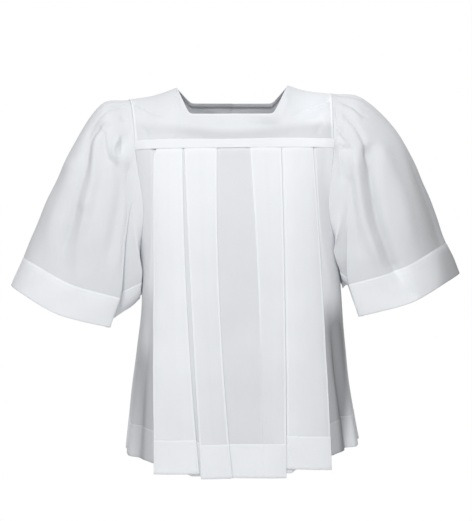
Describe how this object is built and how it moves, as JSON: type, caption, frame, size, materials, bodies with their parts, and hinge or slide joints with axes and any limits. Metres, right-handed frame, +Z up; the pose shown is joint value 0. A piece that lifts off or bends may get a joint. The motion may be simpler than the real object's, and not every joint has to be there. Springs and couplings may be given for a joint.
{
  "type": "surplice",
  "caption": "Square-necked pleated surplice, filled out as worn with no wearer: yoke, box-pleated body and wide half sleeves, open at neck, cuffs and hem.",
  "frame": {"origin": "midway between the two points where the yoke lies on the shoulders beside the neck, where the wearer holds it up", "axes": "+Z up, the wearer faces -Y, +X towards the wearer's left"},
  "size_m": [0.9092, 0.3052, 0.774],
  "materials": {
    "yoke_cloth": "matte white poly-cotton, plain weave, two layers",
    "band_cloth": "matte white poly-cotton, turned under and topstitched",
    "body_cloth": "matte white poly-cotton, plain weave, pressed pleats",
    "sleeve_cloth": "matte white poly-cotton, plain weave, gathered at the head"
  },
  "bodies": {
    "root": {"yoke_front": "yoke_cloth", "yoke_back": "yoke_cloth", "yoke_band_front": "band_cloth", "yoke_band_back": "band_cloth", "front_panel": "body_cloth", "back_panel": "body_cloth", "sleeve_right": "sleeve_cloth", "sleeve_left": "sleeve_cloth"}
  },
  "joints": []
}
